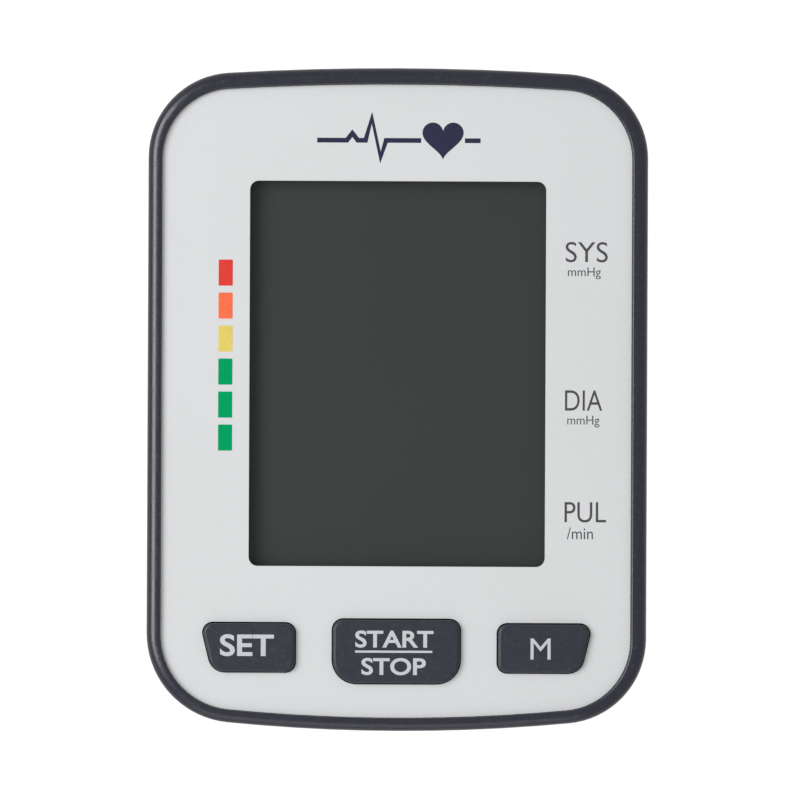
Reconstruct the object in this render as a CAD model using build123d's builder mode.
from build123d import *
import os
from math import asin, atan2, cos, degrees, radians, sin, sqrt

# Wrist blood-pressure monitor with its integral cuff, modelled as separate pieces.
# Origin: middle of the flat underside of the closed cuff. +Z points out of the face, +Y to the
# top of the display, +X to the right of the face. All sizes are in millimetres.

# ---- case -------------------------------------------------------------------------------
case_width = 64.0
case_height = 84.9
corner_top = 10.9
corner_bottom_left = 11.5
corner_bottom_right = 10.9
bow_top = 357.0  # radius of the slightly bowed top edge
bow_bottom = 230.0  # radius of the slightly bowed bottom edge
back_width = 55.2
back_height = 79.0
back_corner = 8.0
back_round = 2.0
case_thickness = 21.0  # over the middle of the saddle
wing_depth = 30.0  # from the rim to the lowest part of the back
straight_side = 3.0
wall = 1.9
saddle_wall = 1.6
rim_round = 1.35
rim_inner_round = 0.25
front_case_depth = 7.0

# ---- closed cuff, seen along Y: flat bottom, two corners, two sides and a crown ------------
cuff_half_width = 29.4
cuff_top = 54.0
crown_radius = 41.6
side_radius = 22.0
corner_radius = 18.0
cuff_length = 60.0
binding = 1.0
binding_end = 1.2  # how far the binding passes the ends of the C
saddle_gap = 0.4
cuff_layers = {
    "cuff_cover": (0.0, 1.8),
    "cuff_stay": (1.85, 2.65),
    "cuff_bladder": (2.7, 4.7),
    "cuff_lining": (4.75, 5.6),
}
cuff_thickness = cuff_layers["cuff_lining"][1]
short_end_z = 20.0  # the short end of the C, on the left side
long_end_angle = -148.0  # the long end of the C, round the lower left corner
bladder_start_z = 22.0
bladder_end_angle = -60.0
bladder_length = 48.0
bladder_recess_radius = 4.2
bladder_recess_depth = 1.6
nipple_hole_radius = 2.0
pad_half_angle = 15.0
pad_half_length = 24.0
pad_clear = 0.1
pad_hole_radius = 2.4
tail_clear = 0.2
hook_thickness = 0.8
strap_thickness = 1.4
tail_length = 46.0  # along Y
tail_foot_angle = 238.0
tail_hinge_angle = 215.0
tail_hinge_gap = 0.4  # in degrees, between the anchor and the strap
tail_tip_angle = 155.0
hook_start_angle = 176.0
hook_end_angle = 157.0
hook_length = 42.0  # along Y
tab_angle = 6.0
tab_length = 18.0  # along Y
anchor_clear = 0.02

# ---- display and face ------------------------------------------------------------------
face_recess = 0.7
face_shift_x = -0.13  # the face sits slightly low and left inside the rim
face_shift_y = -0.2
face_thickness = 0.8
floor_thickness = 1.2
fit_gap = 0.05
window_width = 37.9
window_height = 49.3
window_y = 3.3
window_corner = 1.15
gasket_thickness = 0.3
gasket_margin = 0.8
film_thickness = 0.15
film_margin = 0.6
glass_width = 42.0
glass_height = 54.0
glass_thickness = 1.0
ledge = 2.0
frame_wall = 1.0
frame_clear = 0.1
zebra_inset = 1.0
zebra_clear = 0.2
display_stack = 3.0  # from the front of the glass to the board
board_thickness = 1.2
board_inset = 3.0

# ---- keys ------------------------------------------------------------------------------
key_gap = 0.18
key_x = 19.0
key_y = -31.76
key_width = 12.0
key_depth = 6.15
key_slant = 1.5  # how far the outer side leans in towards the bottom
key_corner = 1.2
key_slant_corner = 2.0
start_y = -32.22
start_width = 16.2
start_depth = 8.1
start_corner = 1.3
start_lower_corner = 3.0
flange = 0.8
flange_thickness = 0.7
flange_clear = 0.1
key_proud = 0.85  # above the face
key_edge_round = 0.4
switch_x = 18.5
switch_y = -31.0
switch_size = 4.5
switch_height = 1.7
switch_hole_depth = 1.5
stem_radius = 0.9
stem_proud = 0.65  # more than the travel of a key
stem_depth = 0.9
stem_clear = 0.05
presser_radius = 1.3

# ---- board parts -------------------------------------------------------------------------
CHIPS = {  # middle (x, y) of each chip and its width, depth and height
    "controller": ((0.0, 32.0), (10.0, 10.0, 1.5)),
    "memory": ((12.0, 30.5), (5.0, 4.0, 1.5)),
    "amplifier": ((-12.0, 31.0), (5.0, 4.0, 1.5)),
    "crystal": ((0.0, 22.5), (7.0, 3.0, 1.8)),
    "regulator": ((-12.0, 36.5), (4.0, 2.5, 1.0)),
    "clock": ((12.0, 36.5), (4.0, 2.5, 1.0)),
    "capacitor_1": ((-3.0, -36.5), (3.2, 1.6, 0.8)),
    "capacitor_2": ((-9.0, -36.5), (3.2, 1.6, 0.8)),
    "capacitor_3": ((-15.0, -36.0), (3.2, 1.6, 0.8)),
}
sensor_x = 5.0
sensor_y = -10.0
sensor_size = 8.0
sensor_corner = 0.6
sensor_height = 3.2
sensor_port = 2.0
buzzer_x = 4.0
buzzer_y = -27.0
buzzer_radius = 5.0
buzzer_height = 3.4
buzzer_round = 0.4
buzzer_hole_radius = 1.0
buzzer_hole_depth = 0.8

# ---- cells, tray and door ----------------------------------------------------------------
cell_radius = 5.25
cell_length = 43.7
cell_round = 0.5
nub_radius = 1.9
nub_length = 0.8
nub_root = 0.6
cell_reach = 50.2  # cell axes from the saddle's axis
cell_x = (-21.2, -10.9)
cell_ways = (1, -1)  # which way along Y each cell's nub points
bay_clear = 0.35
bay_half = 23.9
bay_mouth = 10.0  # how far the bay runs out through the tray's open side
tray_end = 1.0
tray_left = -26.3
tray_right = -4.8
tray_low = 50.0
tray_high = 67.7
tray_clear = 0.15
tray_step_x = -19.5  # left of here the tray is lower, to clear the board's screws
tray_step_z = 65.6
contact_size = 7.0
contact_thickness = 0.4
spring_wire = 0.25
spring_coil_radius = 2.8
spring_turns = 3
spring_clear = 0.02
door_half = 23.4
door_bottom = 51.0
door_axis_z = 64.6
door_thickness = 1.6
door_gap = 0.2
door_cut = 8.0
barrel_radius = 1.2
door_pin_radius = 0.8
door_pin_clear = 0.05
door_pin_length = 2.2
ear_width = 3.4
ear_length = 2.6
ear_height = 4.4
ear_shift = 0.7
ear_gap = 0.4
notch_half = 7.0
notch_radius = 1.6
notch_rise = 0.9
notch_depth = 0.2

# ---- pump --------------------------------------------------------------------------------
pump_x = 19.0
pump_reach = 50.7
motor_radius = 6.0
motor_wall = 0.8
motor_round = 0.6
motor_back_y = -31.5
motor_front_y = -13.5
magnet_inner_radius = 4.0
magnet_gap = 3.0
magnet_back = 5.0
magnet_front = 2.0
armature_radius = 3.6
armature_end = 0.5
slot_reach = 3.4
slot_radius = 0.7
commutator_radius = 1.7
commutator_low = 1.6
commutator_high = 4.4
shaft_radius = 0.75
shaft_clear = 0.05
shaft_tail = 0.6
shaft_nose = 2.0
eccentric_y = -7.0
eccentric_radius = 2.0
eccentric_offset = 0.8
eccentric_half = 1.5
head_radius = 6.8
head_wall = 1.2
head_front_wall = 1.4
head_front_y = -0.5
head_round = 0.8
head_hole_radius = 1.6
yoke_radius = 4.4
yoke_half = 1.3
yoke_clear = 0.15
arm_reach = 4.2
arm_radius = 1.0
arm_tip = 2.4
diaphragm_y = -4.5
diaphragm_radius = 5.5
diaphragm_thickness = 0.8
cup_reach = 3.0
cup_radius = 1.7
cup_depth = 2.0
outlet_x = 17.0
outlet_root = 0.5
outlet_length = 1.7
cradle_y = -22.0
cradle_half = 7.0
cradle_margin = 0.5
cradle_low = 50.5
cradle_high = 59.5
cradle_clear = 0.1

# ---- valve, manifold and tubes -------------------------------------------------------------
air_z = 60.5
tube_outer = 1.6
tube_bore = 0.98
tube_bend = 2.5
barb_radius = 0.95
valve_x = 19.3
valve_y = 13.5
valve_size = 9.0
valve_depth = 13.0
valve_corner = 0.8
valve_low = 54.5
valve_high = 63.5
valve_barb = 2.4
plunger_bore = 1.7
plunger_clear = 0.06
plunger_proud = 1.2
plunger_chamfer = 0.3
valve_spring_low = 55.9
valve_spring_top = 58.5
valve_coil_radius = 1.2
valve_wire = 0.2
valve_coil_turns = 3
valve_coil_clear = 0.02
manifold_x = 5.0
manifold_y = 4.0
manifold_half = 3.5
manifold_right = 9.5
manifold_height = 5.0
manifold_corner = 1.0
valve_branch_x = 7.2
barb_length = 2.6
nipple_x = 2.8
nipple_y = 16.0
nipple_neck = 2.6  # above the cuff
nipple_neck_radius = 1.8
nipple_flange_radius = 4.0
nipple_flange = 0.6
nipple_sink = 1.5  # below the top of the bladder
nipple_barb = 1.2
nipple_bore = 0.5

# ---- leads -------------------------------------------------------------------------------
lead_radius = 0.4
lead_bend = 1.6
lead_clear = 0.1
motor_lead_x = 16.0
motor_lead_half = 1.2
motor_lead_rise = 2.0
motor_lead_reach = 3.0
valve_lead_half = 2.0
valve_lead_reach = 3.0
battery_lead_z = 60.0
battery_lead_reach = 2.6

# ---- fasteners -----------------------------------------------------------------------
case_screw_x = 21.5
case_screw_y = 35.8
boss_radius = 2.2
pilot_radius = 0.95
pilot_depth = 2.4
low_boss_height = 2.9  # the lower bosses stop under the keys
web_width = 1.6
web_length = 4.0
web_height = 1.7
web_shift = 3.0
rear_boss_radius = 3.0
rear_boss_foot = 1.0
board_notch_clear = 0.3
screw_well_radius = 2.1
screw_floor = 3.0
screw_hole_radius = 1.15
board_screw_x = 25.5
board_screw_y = (16.0, -14.0)
board_boss_radius = 2.0
board_pilot_radius = 0.75
board_pilot_depth = 2.6
board_hole_radius = 1.1
cuff_screw_x = 9.0
cuff_screw_y = 26.9
cuff_boss_radius = 1.9
cuff_boss_height = 6.1
cuff_boss_foot = 0.5
cuff_pilot_radius = 0.85
cuff_pilot_top = 5.0
cuff_pilot_foot = 1.0
cuff_hole_radius = 0.95

# ---- levels that follow ----------------------------------------------------------------
saddle_z = cuff_top - crown_radius
saddle_radius = crown_radius + saddle_gap
rim_z = cuff_top + saddle_gap + case_thickness
back_z = rim_z - wing_depth
parting_z = rim_z - front_case_depth
face_z = rim_z - face_recess
floor_top = face_z - face_thickness
floor_bottom = floor_top - floor_thickness
glass_top = floor_bottom - gasket_thickness
board_top = glass_top - display_stack
board_bottom = board_top - board_thickness
switch_top = board_top + switch_height
stem_top = switch_top + stem_proud
flange_top = floor_bottom - flange_clear
side_centre_x = cuff_half_width - side_radius
side_centre_z = saddle_z + sqrt((crown_radius - side_radius) ** 2 - side_centre_x**2)
crown_angle = degrees(atan2(side_centre_z - saddle_z, side_centre_x))
corner_centre_x = cuff_half_width - corner_radius
pump_z = saddle_z + sqrt(pump_reach**2 - pump_x**2)
cell_z = [saddle_z + sqrt(cell_reach**2 - x**2) for x in cell_x]
cell_back = bay_half - contact_thickness - cell_length - nub_length
side_slope = (case_width - back_width) / 2 / (rim_z - straight_side - back_z)
door_wall_x = case_width / 2 - side_slope * (rim_z - straight_side - door_axis_z)
door_axis_x = barrel_radius + fit_gap - door_wall_x
door_top = door_axis_z + barrel_radius + door_gap
CASE_SCREWS = [(x * case_screw_x, y * case_screw_y) for x in (-1, 1) for y in (-1, 1)]
BOARD_SCREWS = [(x * board_screw_x, y) for x in (-1, 1) for y in board_screw_y]


def case_outline(half_width, half_height, top_corner, left_corner, right_corner):
    """Rounded oblong whose top and bottom edges are slightly bowed."""
    top_drop = bow_top - sqrt(bow_top**2 - half_width**2)
    bottom_drop = bow_bottom - sqrt(bow_bottom**2 - half_width**2)
    left_top = (-half_width, half_height - top_drop)
    right_top = (half_width, half_height - top_drop)
    left_bottom = (-half_width, bottom_drop - half_height)
    right_bottom = (half_width, bottom_drop - half_height)
    with BuildSketch() as profile:
        with BuildLine():
            ThreePointArc(left_top, (0, half_height), right_top)
            Line(right_top, right_bottom)
            ThreePointArc(right_bottom, (0, -half_height), left_bottom)
            Line(left_bottom, left_top)
        make_face()
        fillet(profile.vertices().group_by(Axis.Y)[-1], top_corner)
        fillet(profile.vertices().sort_by_distance(left_bottom)[0], left_corner)
        fillet(profile.vertices().sort_by_distance(right_bottom)[0], right_corner)
    return profile.sketch


def front_outline(inset):
    """Outline of the case at the rim, moved inwards by inset."""
    return case_outline(
        case_width / 2 - inset,
        case_height / 2 - inset,
        corner_top - inset,
        corner_bottom_left - inset,
        corner_bottom_right - inset,
    )


def back_outline(inset):
    """Outline of the case at its back, moved inwards by inset."""
    return case_outline(
        back_width / 2 - inset,
        back_height / 2 - inset,
        back_corner - inset,
        back_corner - inset,
        back_corner - inset,
    )


def case_form(inset, bottom_round):
    """Solid outer form of the case, straight near the rim and narrowing to the back."""
    with BuildPart() as form:
        with BuildSketch(Plane.XY.offset(rim_z - straight_side)):
            add(front_outline(inset))
        extrude(amount=straight_side)
        with BuildSketch(Plane.XY.offset(rim_z - straight_side)):
            add(front_outline(inset))
        with BuildSketch(Plane.XY.offset(back_z)):
            add(back_outline(inset))
        loft(ruled=True)
        fillet(form.faces().sort_by(Axis.Z)[0].edges(), bottom_round)
    return form.part


def bar_along_y(radius, x, z, low_y, high_y):
    """Round bar whose axis runs along Y at (x, z)."""
    with BuildPart() as bar:
        with BuildSketch(Plane.XZ.offset(-high_y)):
            with Locations((x, z)):
                Circle(radius)
        extrude(amount=high_y - low_y)
    return bar.part


def pump_bar(radius, low_y, high_y):
    """Round bar on the axis of the pump."""
    return bar_along_y(radius, pump_x, pump_z, low_y, high_y)


def round_the_pump(reach, first_angle):
    """Three places (x, z) evenly spread round the axis of the pump."""
    angles = [radians(first_angle + 120 * turn) for turn in range(3)]
    return [(pump_x + reach * cos(angle), pump_z + reach * sin(angle)) for angle in angles]


def small_key_outline(grow):
    """The M key seen from the front, centred on its own middle. Its right side leans inwards."""
    half_width = key_width / 2
    half_depth = key_depth / 2
    leaning_corner = (half_width - key_slant, -half_depth)
    straight_corner = (-half_width, -half_depth)
    with BuildSketch() as profile:
        Polygon(
            (-half_width, half_depth),
            (half_width, half_depth),
            leaning_corner,
            straight_corner,
            align=None,
        )
        fillet(profile.vertices().sort_by_distance(leaning_corner)[0], key_slant_corner)
        fillet(profile.vertices().group_by(Axis.Y)[-1], key_corner)
        fillet(profile.vertices().sort_by_distance(straight_corner)[0], key_corner)
        if grow > 0:
            offset(amount=grow)
    return profile.sketch


def set_key_outline(grow):
    """The SET key: the M key mirrored left to right."""
    return mirror(small_key_outline(grow), about=Plane.YZ, mode=Mode.PRIVATE)


def start_key_outline(grow):
    """The START/STOP key, with larger lower corners."""
    with BuildSketch() as profile:
        Rectangle(start_width, start_depth)
        fillet(profile.vertices().group_by(Axis.Y)[-1], start_corner)
        fillet(profile.vertices().group_by(Axis.Y)[0], start_lower_corner)
        if grow > 0:
            offset(amount=grow)
    return profile.sketch


KEYS = {  # outline, middle of the key and middle of its switch
    "set": (set_key_outline, (-key_x, key_y), (-switch_x, switch_y)),
    "start_stop": (start_key_outline, (0.0, start_y), (0.0, start_y)),
    "memory": (small_key_outline, (key_x, key_y), (switch_x, switch_y)),
}
SWITCHES = [switch for outline, middle, switch in KEYS.values()]


def key_openings(grow):
    """The three key outlines in place, grown by the gap round each key."""
    with BuildSketch() as openings:
        for outline, middle, switch in KEYS.values():
            with Locations(middle):
                add(outline(grow))
    return openings.sketch


def loop_line(inset, first_z, last_angle):
    """Line round the closed cuff at a depth inside it: up the left side from first_z, over the
    crown, down the right side, and round the right and left lower corners to last_angle."""
    reach = cuff_half_width - inset
    side = side_radius - inset
    crown = crown_radius - inset
    corner = corner_radius - inset
    sweep = 180 - crown_angle
    with BuildLine() as line:
        Line((-reach, first_z), (-reach, side_centre_z))
        CenterArc((-side_centre_x, side_centre_z), side, 180, -crown_angle)
        CenterArc((0, saddle_z), crown, sweep, crown_angle - sweep)
        CenterArc((side_centre_x, side_centre_z), side, crown_angle, -crown_angle)
        Line((reach, side_centre_z), (reach, corner_radius))
        if last_angle > -90:
            CenterArc((corner_centre_x, corner_radius), corner, 0, last_angle)
        else:
            CenterArc((corner_centre_x, corner_radius), corner, 0, -90)
            Line((corner_centre_x, inset), (-corner_centre_x, inset))
            CenterArc((-corner_centre_x, corner_radius), corner, -90, last_angle + 90)
    return line.line


def loop_band(outer, inner, first_z, last_angle, length):
    """A layer of the cuff between two depths, centred along Y."""
    with BuildPart() as layer:
        with BuildSketch(Plane.XZ):
            trace(loop_line((outer + inner) / 2, first_z, last_angle), line_width=inner - outer)
        extrude(amount=length / 2, both=True)
    return layer.part


def tail_band(outer, inner, first_angle, last_angle, length):
    """A layer outside the cuff's lower left: from first_angle on the corner up to last_angle on
    the side arc. Outer and inner are heights above the cuff's surface."""
    middle = (outer + inner) / 2
    reach = cuff_half_width + middle
    with BuildLine() as line:
        if first_angle > 180:
            turn = max(last_angle, 180) - first_angle
            CenterArc((-corner_centre_x, corner_radius), corner_radius + middle, first_angle, turn)
        if last_angle < 180:
            if first_angle >= 180:
                Line((-reach, corner_radius), (-reach, side_centre_z))
            start = min(first_angle, 180)
            CenterArc((-side_centre_x, side_centre_z), side_radius + middle, start, last_angle - start)
    with BuildPart() as layer:
        with BuildSketch(Plane.XZ):
            trace(line.line, line_width=outer - inner)
        extrude(amount=length / 2, both=True)
    return layer.part


def cuff_screw_planes(height):
    """Planes across the four cuff screws, at a height above the saddle's axis, facing the axis."""
    planes = []
    for side_x in (-1, 1):
        lean = side_x * asin(cuff_screw_x / crown_radius)
        for side_y in (-1, 1):
            planes.append(
                Plane(
                    origin=(height * sin(lean), side_y * cuff_screw_y, saddle_z + height * cos(lean)),
                    x_dir=(cos(lean), 0, -sin(lean)),
                    z_dir=(-sin(lean), 0, -cos(lean)),
                )
            )
    return planes


def tube(points, bend, outer, bore):
    """Soft tube through the points, bent with one radius. A bore of 0 makes a wire."""
    with BuildLine() as path:
        FilletPolyline(*points, radius=bend)
    with BuildPart() as hose:
        with BuildSketch(Plane(origin=path.line @ 0, z_dir=path.line % 0)):
            Circle(outer)
            if bore > 0:
                Circle(bore, mode=Mode.SUBTRACT)
        sweep(path=path.line)
    return hose.part


def coil(turns, height, radius, wire, foot, direction):
    """Coil spring of round wire that starts at foot."""
    with BuildLine() as helix:
        Helix(height / turns, height, radius, center=foot, direction=direction)
    with BuildPart() as spring:
        with BuildSketch(Plane(origin=helix.line @ 0, z_dir=helix.line % 0)):
            Circle(wire)
        sweep(path=helix.line, is_frenet=True)
    return spring.part


def screw(head_radius, head_height, shank_radius, shank_length):
    """Pan-head screw with a cross recess, head on the origin and shank along -Z."""
    with BuildPart() as fastener:
        with BuildSketch():
            Circle(head_radius)
        extrude(amount=head_height)
        fillet(fastener.faces().sort_by(Axis.Z)[-1].edges(), head_height * 0.45)
        with BuildSketch():
            Circle(shank_radius)
        extrude(amount=-shank_length)
        chamfer(fastener.faces().sort_by(Axis.Z)[0].edges(), shank_radius * 0.4)
        with BuildSketch(Plane.XY.offset(head_height)):
            Rectangle(head_radius * 1.1, head_radius * 0.25)
            Rectangle(head_radius * 0.25, head_radius * 1.1)
        extrude(amount=-head_height * 0.6, mode=Mode.SUBTRACT)
    return fastener.part


def save(piece, name):
    """Write one finished piece under its own name."""
    piece.label = name
    export_step(piece, f"parts/{name}.step")


os.makedirs("parts", exist_ok=True)
outer_form = case_form(0.0, back_round)
inner_form = case_form(wall, back_round / 2)
saddle_cut = bar_along_y(saddle_radius, 0, saddle_z, -case_height, case_height)
saddle_inside = bar_along_y(saddle_radius + saddle_wall, 0, saddle_z, -case_height, case_height)

# ---- front case: rim, floor behind the face panel, screw bosses ----------------------------
with BuildPart() as under_floor:
    add(inner_form)
    split(bisect_by=Plane.XY.offset(floor_bottom), keep=Keep.BOTTOM)

with BuildPart() as front_case:
    add(outer_form)
    split(bisect_by=Plane.XY.offset(parting_z), keep=Keep.TOP)
    with BuildSketch(Plane.XY.offset(floor_top)):
        with Locations((face_shift_x, face_shift_y)):
            add(front_outline(wall))
    extrude(amount=face_recess + face_thickness, mode=Mode.SUBTRACT)
    add(under_floor.part, mode=Mode.SUBTRACT)
    with BuildSketch(Plane.XY.offset(parting_z)):
        with Locations([(x, y) for x, y in CASE_SCREWS if y > 0]):
            Circle(boss_radius)
    extrude(until=Until.NEXT)
    with BuildSketch(Plane.XY.offset(parting_z)):
        with Locations([(x, y) for x, y in CASE_SCREWS if y < 0]):
            Circle(boss_radius)
    extrude(amount=low_boss_height)
    with BuildSketch(Plane.XY.offset(parting_z + low_boss_height)):
        with Locations([(x, y - web_shift) for x, y in CASE_SCREWS if y < 0]):
            Rectangle(web_width, web_length)
    extrude(amount=-web_height)
    with BuildSketch(Plane.XY.offset(board_top)):
        with Locations(BOARD_SCREWS):
            Circle(board_boss_radius)
    extrude(until=Until.NEXT)
    with BuildSketch(Plane.XY.offset(floor_bottom)):
        with Locations((0, window_y)):
            RectangleRounded(window_width + 2 * fit_gap, window_height + 2 * fit_gap, window_corner)
        add(key_openings(key_gap))
    extrude(amount=floor_thickness, mode=Mode.SUBTRACT)
    with BuildSketch(Plane.XY.offset(parting_z)):
        with Locations(CASE_SCREWS):
            Circle(pilot_radius)
    extrude(amount=pilot_depth, mode=Mode.SUBTRACT)
    with BuildSketch(Plane.XY.offset(board_top)):
        with Locations(BOARD_SCREWS):
            Circle(board_pilot_radius)
    extrude(amount=board_pilot_depth, mode=Mode.SUBTRACT)
    rim = front_case.faces().filter_by(Axis.Z).sort_by(Axis.Z)[-1]
    fillet(rim.outer_wire().edges(), rim_round)
    rim = front_case.faces().filter_by(Axis.Z).sort_by(Axis.Z)[-1]
    fillet(rim.inner_wires()[0].edges(), rim_inner_round)
save(front_case.part, "front_case")

# ---- face panel and display window, flush with each other -----------------------------------
with BuildPart() as face_panel:
    with BuildSketch(Plane.XY.offset(floor_top)):
        with Locations((face_shift_x, face_shift_y)):
            add(front_outline(wall + fit_gap))
        with Locations((0, window_y)):
            RectangleRounded(window_width, window_height, window_corner, mode=Mode.SUBTRACT)
        add(key_openings(key_gap), mode=Mode.SUBTRACT)
    extrude(amount=face_thickness)
save(face_panel.part, "face_panel")

with BuildPart() as display_window:
    with BuildSketch(Plane.XY.offset(floor_top)):
        with Locations((0, window_y)):
            RectangleRounded(window_width, window_height, window_corner)
    extrude(amount=face_thickness)
save(display_window.part, "display_window")

# ---- display ---------------------------------------------------------------------------
with BuildPart() as window_gasket:
    with BuildSketch(Plane.XY.offset(glass_top)):
        with Locations((0, window_y)):
            Rectangle(glass_width, glass_height)
            Rectangle(
                window_width + 2 * gasket_margin, window_height + 2 * gasket_margin, mode=Mode.SUBTRACT
            )
    extrude(amount=gasket_thickness)
save(window_gasket.part, "window_gasket")

with BuildPart() as display_polariser:
    with BuildSketch(Plane.XY.offset(glass_top)):
        with Locations((0, window_y)):
            Rectangle(window_width + 2 * film_margin, window_height + 2 * film_margin)
    extrude(amount=film_thickness)
save(display_polariser.part, "display_polariser")

with BuildPart() as display_glass:
    with BuildSketch(Plane.XY.offset(glass_top)):
        with Locations((0, window_y)):
            Rectangle(glass_width, glass_height)
    extrude(amount=-glass_thickness)
    with BuildSketch(Plane.XY.offset(glass_top - glass_thickness)):
        with Locations((0, window_y)):
            Rectangle(glass_width, glass_height - 2 * ledge)
    extrude(amount=-glass_thickness)
save(display_glass.part, "display_glass")

with BuildPart() as display_frame:
    with BuildSketch(Plane.XY.offset(board_top)):
        with Locations((0, window_y)):
            Rectangle(glass_width + 2 * frame_wall, glass_height + 2 * frame_wall)
            Rectangle(glass_width + 2 * frame_clear, glass_height + 2 * frame_clear, mode=Mode.SUBTRACT)
    extrude(amount=display_stack)
save(display_frame.part, "display_frame")

with BuildPart() as zebra_strips:
    with BuildSketch(Plane.XY.offset(board_top)):
        with Locations([(0, window_y + side * (glass_height - ledge) / 2) for side in (-1, 1)]):
            Rectangle(glass_width - 2 * zebra_inset, ledge - 2 * zebra_clear)
    extrude(amount=display_stack - glass_thickness)
save(zebra_strips.part, "zebra_strips")

# ---- main board with its chips, sensor and buzzer ------------------------------------------
with BuildPart() as main_board:
    with BuildSketch(Plane.XY.offset(board_bottom)):
        add(front_outline(board_inset))
        with Locations(CASE_SCREWS):
            Circle(rear_boss_radius + board_notch_clear, mode=Mode.SUBTRACT)
        with Locations(BOARD_SCREWS):
            Circle(board_hole_radius, mode=Mode.SUBTRACT)
    extrude(amount=board_thickness)
save(main_board.part, "main_board")

with BuildPart() as board_chips:
    for middle, size in CHIPS.values():
        with Locations((*middle, board_bottom)):
            Box(*size, align=(Align.CENTER, Align.CENTER, Align.MAX))
save(board_chips.part, "board_chips")

with BuildPart() as pressure_sensor:
    with BuildSketch(Plane.XY.offset(board_bottom)):
        with Locations((sensor_x, sensor_y)):
            RectangleRounded(sensor_size, sensor_size, sensor_corner)
    extrude(amount=-sensor_height)
    with BuildSketch(Plane.XY.offset(board_bottom - sensor_height)):
        with Locations((sensor_x, sensor_y)):
            Circle(barb_radius)
    extrude(amount=-sensor_port)
save(pressure_sensor.part, "pressure_sensor")

with BuildPart() as buzzer:
    with BuildSketch(Plane.XY.offset(board_bottom)):
        with Locations((buzzer_x, buzzer_y)):
            Circle(buzzer_radius)
    extrude(amount=-buzzer_height)
    fillet(buzzer.faces().sort_by(Axis.Z)[0].edges(), buzzer_round)
    with BuildSketch(Plane.XY.offset(board_bottom - buzzer_height)):
        with Locations((buzzer_x, buzzer_y)):
            Circle(buzzer_hole_radius)
    extrude(amount=buzzer_hole_depth, mode=Mode.SUBTRACT)
save(buzzer.part, "buzzer")

# ---- keys, their switches and stems -------------------------------------------------------
for name, (outline, middle, switch) in KEYS.items():
    with BuildPart() as key:
        with BuildSketch(Plane.XY.offset(flange_top - flange_thickness)):
            with Locations(middle):
                add(outline(flange))
        extrude(amount=flange_thickness)
        with BuildSketch(Plane.XY.offset(flange_top)):
            with Locations(middle):
                add(outline(0.0))
        extrude(amount=face_z + key_proud - flange_top)
        fillet(key.faces().sort_by(Axis.Z)[-1].edges(), key_edge_round)
        with BuildSketch(Plane.XY.offset(stem_top)):
            with Locations(switch):
                Circle(presser_radius)
        extrude(amount=flange_top - flange_thickness - stem_top)
    save(key.part, f"{name}_key")
    with BuildPart() as stem:
        with BuildSketch(Plane.XY.offset(stem_top)):
            with Locations(switch):
                Circle(stem_radius)
        extrude(amount=-stem_proud - stem_depth)
    save(stem.part, f"{name}_switch_stem")

with BuildPart() as switch_bodies:
    with BuildSketch(Plane.XY.offset(board_top)):
        with Locations(SWITCHES):
            Rectangle(switch_size, switch_size)
    extrude(amount=switch_height)
    with BuildSketch(Plane.XY.offset(switch_top)):
        with Locations(SWITCHES):
            Circle(stem_radius + stem_clear)
    extrude(amount=-switch_hole_depth, mode=Mode.SUBTRACT)
save(switch_bodies.part, "switch_bodies")

# ---- rear case: tapered shell with a saddle for the cuff and a door opening ------------------
with BuildPart() as case_cavity:
    add(inner_form)
    split(bisect_by=Plane.XY.offset(back_z + saddle_wall), keep=Keep.TOP)
    add(saddle_inside, mode=Mode.SUBTRACT)

pin_reach = door_half + door_pin_length
with BuildPart() as rear_case:
    add(outer_form)
    split(bisect_by=Plane.XY.offset(parting_z), keep=Keep.BOTTOM)
    add(case_cavity.part, mode=Mode.SUBTRACT)
    with BuildSketch(Plane.XY.offset(back_z + rear_boss_foot)):
        with Locations(CASE_SCREWS):
            Circle(rear_boss_radius)
    extrude(amount=parting_z - back_z - rear_boss_foot)
    for side_y in (-1, 1):
        ear_y = side_y * (door_half + ear_gap + ear_length / 2)
        with Locations((door_axis_x + ear_shift, ear_y, door_axis_z)):
            Box(ear_width, ear_length, ear_height)
    with BuildSketch(*cuff_screw_planes(saddle_radius + cuff_boss_height)):
        Circle(cuff_boss_radius)
    extrude(amount=cuff_boss_height - cuff_boss_foot)
    add(saddle_cut, mode=Mode.SUBTRACT)
    with BuildSketch(*cuff_screw_planes(saddle_radius + cuff_pilot_top)):
        Circle(cuff_pilot_radius)
    extrude(amount=cuff_pilot_top + cuff_pilot_foot, mode=Mode.SUBTRACT)
    with BuildSketch(Plane.XY.offset(back_z)):
        with Locations(CASE_SCREWS):
            Circle(screw_well_radius)
    extrude(amount=parting_z - back_z - screw_floor, mode=Mode.SUBTRACT)
    with BuildSketch(Plane.XY.offset(parting_z)):
        with Locations(CASE_SCREWS):
            Circle(screw_hole_radius)
    extrude(amount=-screw_floor - fit_gap, mode=Mode.SUBTRACT)
    with BuildSketch(Plane.XY.offset(cuff_top)):
        with Locations((nipple_x, nipple_y)):
            Circle(screw_well_radius)
    extrude(amount=2 * saddle_wall + saddle_gap, mode=Mode.SUBTRACT)
    with Locations((door_axis_x, 0, (door_bottom + door_top) / 2)):
        Box(door_cut, 2 * door_half, door_top - door_bottom, mode=Mode.SUBTRACT)
    hole_reach = pin_reach + door_gap
    hole_radius = door_pin_radius + door_pin_clear
    add(bar_along_y(hole_radius, door_axis_x, door_axis_z, -hole_reach, hole_reach), mode=Mode.SUBTRACT)
save(rear_case.part, "rear_case")

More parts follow.
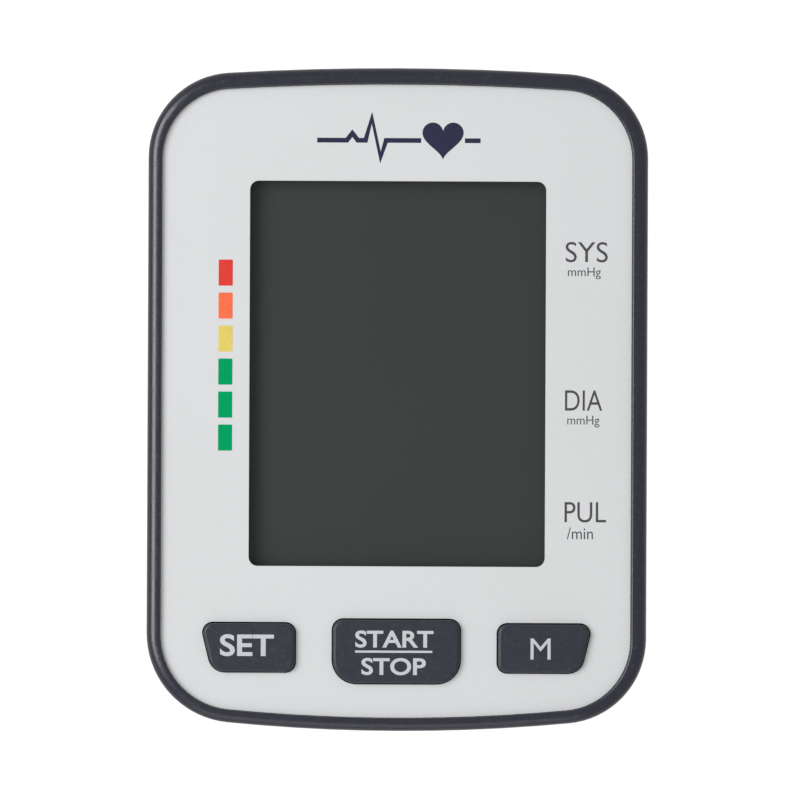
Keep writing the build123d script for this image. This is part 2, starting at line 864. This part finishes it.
# ---- battery door: a slice of the side wall hung from a barrel along its top ------------------
with BuildPart() as battery_door:
    add(outer_form)
    add(case_form(door_thickness, back_round / 2), mode=Mode.SUBTRACT)
    door_span = door_axis_z - door_bottom - door_gap
    barrel_half = door_half - door_gap
    with Locations((door_axis_x, 0, door_axis_z - door_span / 2)):
        Box(door_cut, 2 * barrel_half, door_span, mode=Mode.INTERSECT)
    add(bar_along_y(barrel_radius, door_axis_x, door_axis_z, -barrel_half, barrel_half))
    add(bar_along_y(door_pin_radius, door_axis_x, door_axis_z, -pin_reach, pin_reach))
    finger_notch = bar_along_y(
        notch_radius, door_axis_x + notch_depth, door_bottom + notch_rise, -notch_half, notch_half
    )
    add(finger_notch, mode=Mode.SUBTRACT)
save(battery_door.part, "battery_door")

# ---- battery tray, cells and contacts ------------------------------------------------------
with BuildSketch() as bay:
    for x, z in [*zip(cell_x, cell_z), (tray_left - bay_mouth, cell_z[0])]:
        with Locations((x, z)):
            Circle(cell_radius + bay_clear)
    make_hull()

with BuildPart() as battery_tray:
    with BuildSketch(Plane.XZ):
        with Locations(((tray_left + tray_right) / 2, (tray_low + tray_high) / 2)):
            Rectangle(tray_right - tray_left, tray_high - tray_low)
        with Locations((0, saddle_z)):
            Circle(saddle_radius + saddle_wall + tray_clear, mode=Mode.SUBTRACT)
        with Locations((tray_left, tray_high)):
            Rectangle(2 * (tray_step_x - tray_left), 2 * (tray_high - tray_step_z), mode=Mode.SUBTRACT)
    extrude(amount=bay_half + tray_end, both=True)
    with BuildSketch(Plane.XZ):
        add(bay.sketch)
    extrude(amount=bay_half, both=True, mode=Mode.SUBTRACT)
save(battery_tray.part, "battery_tray")

for number, (x, z, way) in enumerate(zip(cell_x, cell_z, cell_ways), start=1):
    with BuildPart() as cell:
        ends = sorted((way * cell_back, way * (cell_back + cell_length)))
        add(bar_along_y(cell_radius, x, z, *ends))
        fillet(cell.edges().filter_by(GeomType.CIRCLE), cell_round)
        nub_start = cell_back + cell_length - nub_root
        nub = sorted((way * nub_start, way * (nub_start + nub_root + nub_length)))
        add(bar_along_y(nub_radius, x, z, *nub))
    save(cell.part, f"battery_cell_{number}")

with BuildPart() as contact_plates:
    for x, z, way in zip(cell_x, cell_z, cell_ways):
        with Locations((x, way * (bay_half - contact_thickness / 2), z)):
            Box(contact_size, contact_thickness, contact_size)
save(contact_plates.part, "contact_plates")

spring_length = bay_half + cell_back - 2 * spring_wire - 5 * spring_clear
with BuildPart() as contact_springs:
    for x, z, way in zip(cell_x, cell_z, cell_ways):
        foot = (x, -way * (bay_half - spring_wire - spring_clear), z)
        add(coil(spring_turns, spring_length, spring_coil_radius, spring_wire, foot, (0, way, 0)))
save(contact_springs.part, "contact_springs")

# ---- air pump: motor can, magnets, turning shaft with eccentric, head, yoke and diaphragm ------
magnet_low = motor_back_y + magnet_back
magnet_high = motor_front_y - magnet_front
with BuildPart() as motor_can:
    add(pump_bar(motor_radius, motor_back_y, motor_front_y))
    fillet(motor_can.edges().filter_by(GeomType.CIRCLE), motor_round)
    add(
        pump_bar(motor_radius - motor_wall, motor_back_y + motor_wall, motor_front_y - motor_wall),
        mode=Mode.SUBTRACT,
    )
    add(
        pump_bar(shaft_radius + shaft_clear, motor_back_y - motor_wall, motor_front_y + motor_wall),
        mode=Mode.SUBTRACT,
    )
save(motor_can.part, "motor_can")

with BuildPart() as motor_magnets:
    add(pump_bar(motor_radius - motor_wall - fit_gap, magnet_low, magnet_high))
    add(pump_bar(magnet_inner_radius, magnet_low, magnet_high), mode=Mode.SUBTRACT)
    with Locations((pump_x, (magnet_low + magnet_high) / 2, pump_z)):
        Box(magnet_gap, magnet_high - magnet_low, 2 * motor_radius, mode=Mode.SUBTRACT)
save(motor_magnets.part, "motor_magnets")

with BuildPart() as pump_rotor:
    add(pump_bar(shaft_radius, motor_back_y - shaft_tail, eccentric_y + shaft_nose))
    add(pump_bar(armature_radius, magnet_low + armature_end, magnet_high - armature_end))
    for x, z in round_the_pump(slot_reach, 0):
        add(bar_along_y(slot_radius, x, z, magnet_low, magnet_high), mode=Mode.SUBTRACT)
    add(pump_bar(commutator_radius, motor_back_y + commutator_low, motor_back_y + commutator_high))
    eccentric_x = pump_x + eccentric_offset
    eccentric_ends = (eccentric_y - eccentric_half, eccentric_y + eccentric_half)
    add(bar_along_y(eccentric_radius, eccentric_x, pump_z, *eccentric_ends))
save(pump_rotor.part, "pump_rotor")

with BuildPart() as pump_head:
    add(pump_bar(head_radius, motor_front_y, head_front_y))
    fillet(pump_head.edges().filter_by(GeomType.CIRCLE).sort_by(Axis.Y)[-1], head_round)
    add(
        pump_bar(head_radius - head_wall, motor_front_y + head_wall, head_front_y - head_front_wall),
        mode=Mode.SUBTRACT,
    )
    add(
        pump_bar(head_hole_radius, motor_front_y - head_wall, motor_front_y + 2 * head_wall),
        mode=Mode.SUBTRACT,
    )
    outlet_ends = (head_front_y - outlet_root, head_front_y + outlet_length)
    add(bar_along_y(barb_radius, outlet_x, air_z, *outlet_ends))
save(pump_head.part, "pump_head")

with BuildPart() as pump_yoke:
    add(pump_bar(yoke_radius, eccentric_y - yoke_half, eccentric_y + yoke_half))
    for x, z in round_the_pump(arm_reach, 90):
        add(bar_along_y(arm_radius, x, z, eccentric_y - yoke_half, eccentric_y + arm_tip))
    yoke_bore = eccentric_radius + eccentric_offset + yoke_clear
    add(pump_bar(yoke_bore, eccentric_y - arm_tip, eccentric_y + arm_tip), mode=Mode.SUBTRACT)
save(pump_yoke.part, "pump_yoke")

with BuildPart() as pump_diaphragm:
    add(pump_bar(diaphragm_radius, diaphragm_y, diaphragm_y + diaphragm_thickness))
    for x, z in round_the_pump(cup_reach, 90):
        add(bar_along_y(cup_radius, x, z, diaphragm_y, diaphragm_y + cup_depth))
save(pump_diaphragm.part, "pump_diaphragm")

with BuildPart() as pump_cradle:
    with BuildSketch(Plane.XZ.offset(-cradle_y)):
        with Locations((pump_x, (cradle_low + cradle_high) / 2)):
            Rectangle(2 * (motor_radius + cradle_margin), cradle_high - cradle_low)
        with Locations((0, saddle_z)):
            Circle(saddle_radius + saddle_wall + cradle_clear, mode=Mode.SUBTRACT)
        with Locations((pump_x, pump_z)):
            Circle(motor_radius + cradle_clear, mode=Mode.SUBTRACT)
    extrude(amount=cradle_half, both=True)
save(pump_cradle.part, "pump_cradle")

# ---- release valve --------------------------------------------------------------------
port_x = valve_x - valve_size / 2
with BuildPart() as valve_body:
    with Locations((valve_x, valve_y, (valve_low + valve_high) / 2)):
        Box(valve_size, valve_depth, valve_high - valve_low)
    fillet(valve_body.edges().filter_by(Axis.Z), valve_corner)
    with BuildSketch(Plane.XY.offset(valve_high)):
        with Locations((valve_x, valve_y)):
            Circle(plunger_bore)
    extrude(amount=valve_spring_low - valve_high, mode=Mode.SUBTRACT)
    with BuildSketch(Plane.YZ.offset(port_x)):
        with Locations((valve_y, air_z)):
            Circle(barb_radius)
    extrude(amount=-valve_barb)
save(valve_body.part, "valve_body")

with BuildPart() as valve_plunger:
    with BuildSketch(Plane.XY.offset(valve_spring_top)):
        with Locations((valve_x, valve_y)):
            Circle(plunger_bore - plunger_clear)
    extrude(amount=valve_high + plunger_proud - valve_spring_top)
    chamfer(valve_plunger.faces().sort_by(Axis.Z)[-1].edges(), plunger_chamfer)
save(valve_plunger.part, "valve_plunger")

coil_foot = valve_spring_low + valve_wire + valve_coil_clear
coil_height = valve_spring_top - valve_spring_low - 2 * valve_wire - 5 * valve_coil_clear
valve_coil = coil(
    valve_coil_turns, coil_height, valve_coil_radius, valve_wire, (valve_x, valve_y, coil_foot), (0, 0, 1)
)
save(valve_coil, "valve_spring")

# ---- air manifold and tubes ---------------------------------------------------------------
manifold_front = manifold_y + manifold_half
manifold_back = manifold_y - manifold_half
with BuildPart() as air_manifold:
    with Locations((manifold_x, manifold_y, air_z)):
        Box(2 * (manifold_right - manifold_x), 2 * manifold_half, manifold_height)
    fillet(air_manifold.edges().filter_by(Axis.Z), manifold_corner)
    for x in (nipple_x, valve_branch_x):
        add(bar_along_y(barb_radius, x, air_z, manifold_y, manifold_front + barb_length))
    add(bar_along_y(barb_radius, manifold_x, air_z, manifold_back - barb_length, manifold_y))
    with BuildSketch(Plane.YZ.offset(manifold_x)):
        with Locations((manifold_y, air_z)):
            Circle(barb_radius)
    extrude(amount=manifold_right - manifold_x + barb_length)
save(air_manifold.part, "air_manifold")

nipple_top = cuff_top + nipple_neck
nipple_route = [
    (nipple_x, nipple_y, nipple_top + fit_gap),
    (nipple_x, nipple_y, air_z),
    (nipple_x, manifold_front + fit_gap, air_z),
]
valve_route = [
    (valve_branch_x, manifold_front + fit_gap, air_z),
    (valve_branch_x, valve_y, air_z),
    (port_x - fit_gap, valve_y, air_z),
]
pump_route = [
    (outlet_x, head_front_y + fit_gap, air_z),
    (outlet_x, manifold_y, air_z),
    (manifold_right + fit_gap, manifold_y, air_z),
]
sensor_route = [
    (manifold_x, manifold_back - fit_gap, air_z),
    (manifold_x, sensor_y, air_z),
    (sensor_x, sensor_y, board_bottom - sensor_height - fit_gap),
]
with BuildPart() as air_tubes:
    for route in (nipple_route, valve_route, pump_route, sensor_route):
        add(tube(route, tube_bend, tube_outer, tube_bore))
save(air_tubes.part, "air_tubes")


# ---- leads from the motor, the valve and the cells to the board -----------------------------
def leads(places, start_y, reach, z):
    """Two bare-ended wires along Y from start_y and then up to the board, at two places in X."""
    clear = lead_clear if reach > 0 else -lead_clear
    end_y = start_y + reach
    with BuildPart() as wires:
        for x in places:
            route = [(x, start_y + clear, z), (x, end_y, z), (x, end_y, board_bottom)]
            add(tube(route, lead_bend, lead_radius, 0))
    return wires.part


motor_lead_places = (motor_lead_x - motor_lead_half, motor_lead_x + motor_lead_half)
valve_lead_places = (valve_x - valve_lead_half, valve_x + valve_lead_half)
save(leads(motor_lead_places, motor_back_y, -motor_lead_reach, pump_z + motor_lead_rise), "motor_leads")
save(leads(valve_lead_places, valve_y + valve_depth / 2, valve_lead_reach, air_z), "valve_leads")
save(leads(cell_x, bay_half + tray_end, battery_lead_reach, battery_lead_z), "battery_leads")

# ---- screws ----------------------------------------------------------------------------
with BuildPart() as case_screws:
    for x, y in CASE_SCREWS:
        with Locations(Plane(origin=(x, y, parting_z - screw_floor), z_dir=(0, 0, -1))):
            add(screw(1.9, 1.4, 0.9, 5.2))
save(case_screws.part, "case_screws")

with BuildPart() as board_screws:
    for x, y in BOARD_SCREWS:
        with Locations(Plane(origin=(x, y, board_bottom), z_dir=(0, 0, -1))):
            add(screw(1.7, 0.9, 0.7, 3.6))
save(board_screws.part, "board_screws")

with BuildPart() as cuff_screws:
    for place in cuff_screw_planes(crown_radius - cuff_layers["cuff_stay"][1] - fit_gap):
        with Locations(place):
            add(screw(1.7, 0.9, 0.8, 6.5))
save(cuff_screws.part, "cuff_screws")

# ---- cuff: four layers, the binding round their edges, nipple and saddle pad ------------------
core_length = cuff_length - 2 * binding
binding_angle = degrees(binding_end / corner_radius)
bladder_top = cuff_top - cuff_layers["cuff_bladder"][0]
nipple_foot = bladder_top - nipple_sink

with BuildPart() as cuff_drills:
    with BuildSketch(Plane.XY.offset(cuff_top - cuff_thickness)):
        with Locations((nipple_x, nipple_y)):
            Circle(nipple_hole_radius)
    extrude(amount=2 * cuff_thickness)
    with BuildSketch(*cuff_screw_planes(crown_radius + binding)):
        Circle(cuff_hole_radius)
    extrude(amount=cuff_thickness)

with BuildPart() as cuff_bladder:
    outer, inner = cuff_layers["cuff_bladder"]
    add(loop_band(outer, inner, bladder_start_z, bladder_end_angle, bladder_length))
    with BuildSketch(Plane.XY.offset(bladder_top - bladder_recess_depth)):
        with Locations((nipple_x, nipple_y)):
            Circle(bladder_recess_radius)
    extrude(amount=2 * bladder_recess_depth, mode=Mode.SUBTRACT)
save(cuff_bladder.part, "cuff_bladder")

for name in ("cuff_cover", "cuff_stay", "cuff_lining"):
    with BuildPart() as layer:
        outer, inner = cuff_layers[name]
        add(loop_band(outer, inner, short_end_z, long_end_angle, core_length))
        if name != "cuff_lining":
            add(cuff_drills.part, mode=Mode.SUBTRACT)
    save(layer.part, name)

with BuildPart() as cuff_binding:
    add(
        loop_band(
            0.0, cuff_thickness, short_end_z - binding_end, long_end_angle - binding_angle, cuff_length
        )
    )
    add(
        loop_band(-binding, cuff_thickness + binding, short_end_z, long_end_angle, core_length),
        mode=Mode.SUBTRACT,
    )
save(cuff_binding.part, "cuff_binding")

with BuildPart() as air_nipple:
    with BuildSketch(Plane.XY.offset(nipple_foot)):
        with Locations((nipple_x, nipple_y)):
            Circle(nipple_flange_radius)
    extrude(amount=nipple_flange)
    with BuildSketch(Plane.XY.offset(nipple_foot)):
        with Locations((nipple_x, nipple_y)):
            Circle(nipple_neck_radius)
    extrude(amount=nipple_top - nipple_foot)
    with BuildSketch(Plane.XY.offset(nipple_top)):
        with Locations((nipple_x, nipple_y)):
            Circle(barb_radius)
    extrude(amount=nipple_barb)
    with BuildSketch(Plane.XY.offset(nipple_foot)):
        with Locations((nipple_x, nipple_y)):
            Circle(nipple_bore)
    extrude(amount=nipple_top + nipple_barb - nipple_foot, mode=Mode.SUBTRACT)
save(air_nipple.part, "air_nipple")

with BuildLine() as pad_line:
    CenterArc((0, saddle_z), crown_radius + saddle_gap / 2, 90 + pad_half_angle, -2 * pad_half_angle)

with BuildPart() as saddle_pad:
    with BuildSketch(Plane.XZ):
        trace(pad_line.line, line_width=saddle_gap - pad_clear)
    extrude(amount=pad_half_length, both=True)
    with BuildSketch(Plane.XY.offset(cuff_top - cuff_thickness)):
        with Locations((nipple_x, nipple_y)):
            Circle(pad_hole_radius)
    extrude(amount=2 * cuff_thickness, mode=Mode.SUBTRACT)
save(saddle_pad.part, "saddle_pad")

# ---- tail: the fastening strap that closes the cuff over its lower left -----------------------
hook_outer = tail_clear + hook_thickness
strap_outer = hook_outer + strap_thickness
anchor_end_angle = tail_hinge_angle + tail_hinge_gap
tab_tip_angle = tail_tip_angle - tab_angle
save(tail_band(strap_outer, anchor_clear, tail_foot_angle, anchor_end_angle, tail_length), "tail_anchor")
save(tail_band(strap_outer, hook_outer, tail_hinge_angle, tail_tip_angle, tail_length), "tail_strap")
save(tail_band(hook_outer, tail_clear, hook_start_angle, hook_end_angle, hook_length), "hook_patch")
save(tail_band(strap_outer, hook_outer, tail_tip_angle, tab_tip_angle, tab_length), "pull_tab")
